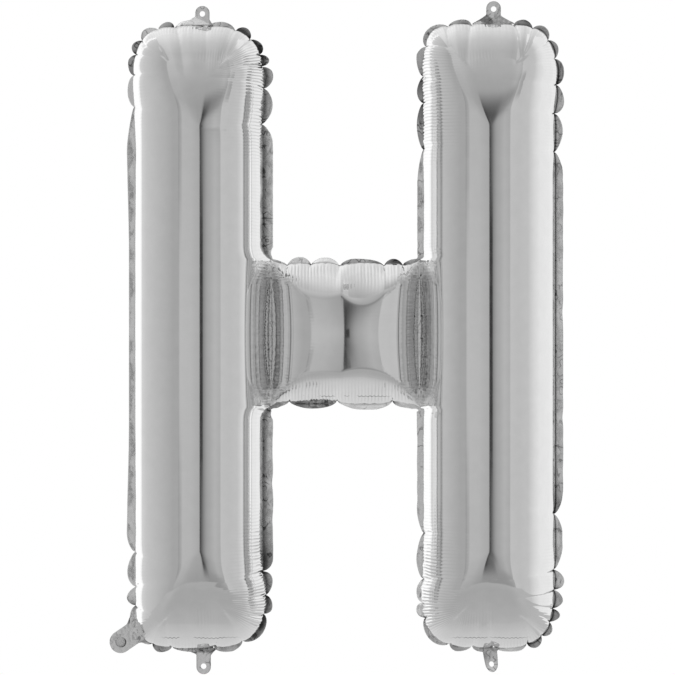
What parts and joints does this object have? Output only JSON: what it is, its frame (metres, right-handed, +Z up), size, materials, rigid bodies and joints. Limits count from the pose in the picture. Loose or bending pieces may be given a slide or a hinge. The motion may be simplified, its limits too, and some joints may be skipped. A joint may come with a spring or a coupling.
{
  "type": "letter foil balloon",
  "caption": "Inflated silver foil balloon shaped as a capital letter H, with a sealed scalloped border, hanging tabs and an inflation tail.",
  "frame": {"origin": "middle of the letter, in the plane of its seam, halfway between the legs and between their end seams", "axes": "+Z up along the legs, +X to the right across the letter as it is read, front face towards -Y"},
  "size_m": [0.6632, 0.1894, 0.976],
  "materials": {
    "bright_foil": "gloss",
    "sealed_foil": "satin",
    "valve_film": "satin"
  },
  "bodies": {
    "root": {"front_panel": "bright_foil", "back_panel": "bright_foil", "seam_border": "sealed_foil", "junction_weld_left": "sealed_foil", "junction_weld_right": "sealed_foil", "tab_top_left": "sealed_foil", "tab_top_right": "sealed_foil", "tab_bottom_left": "sealed_foil", "tab_bottom_right": "sealed_foil", "inflation_tail": "sealed_foil", "valve_film": "valve_film"}
  },
  "joints": []
}
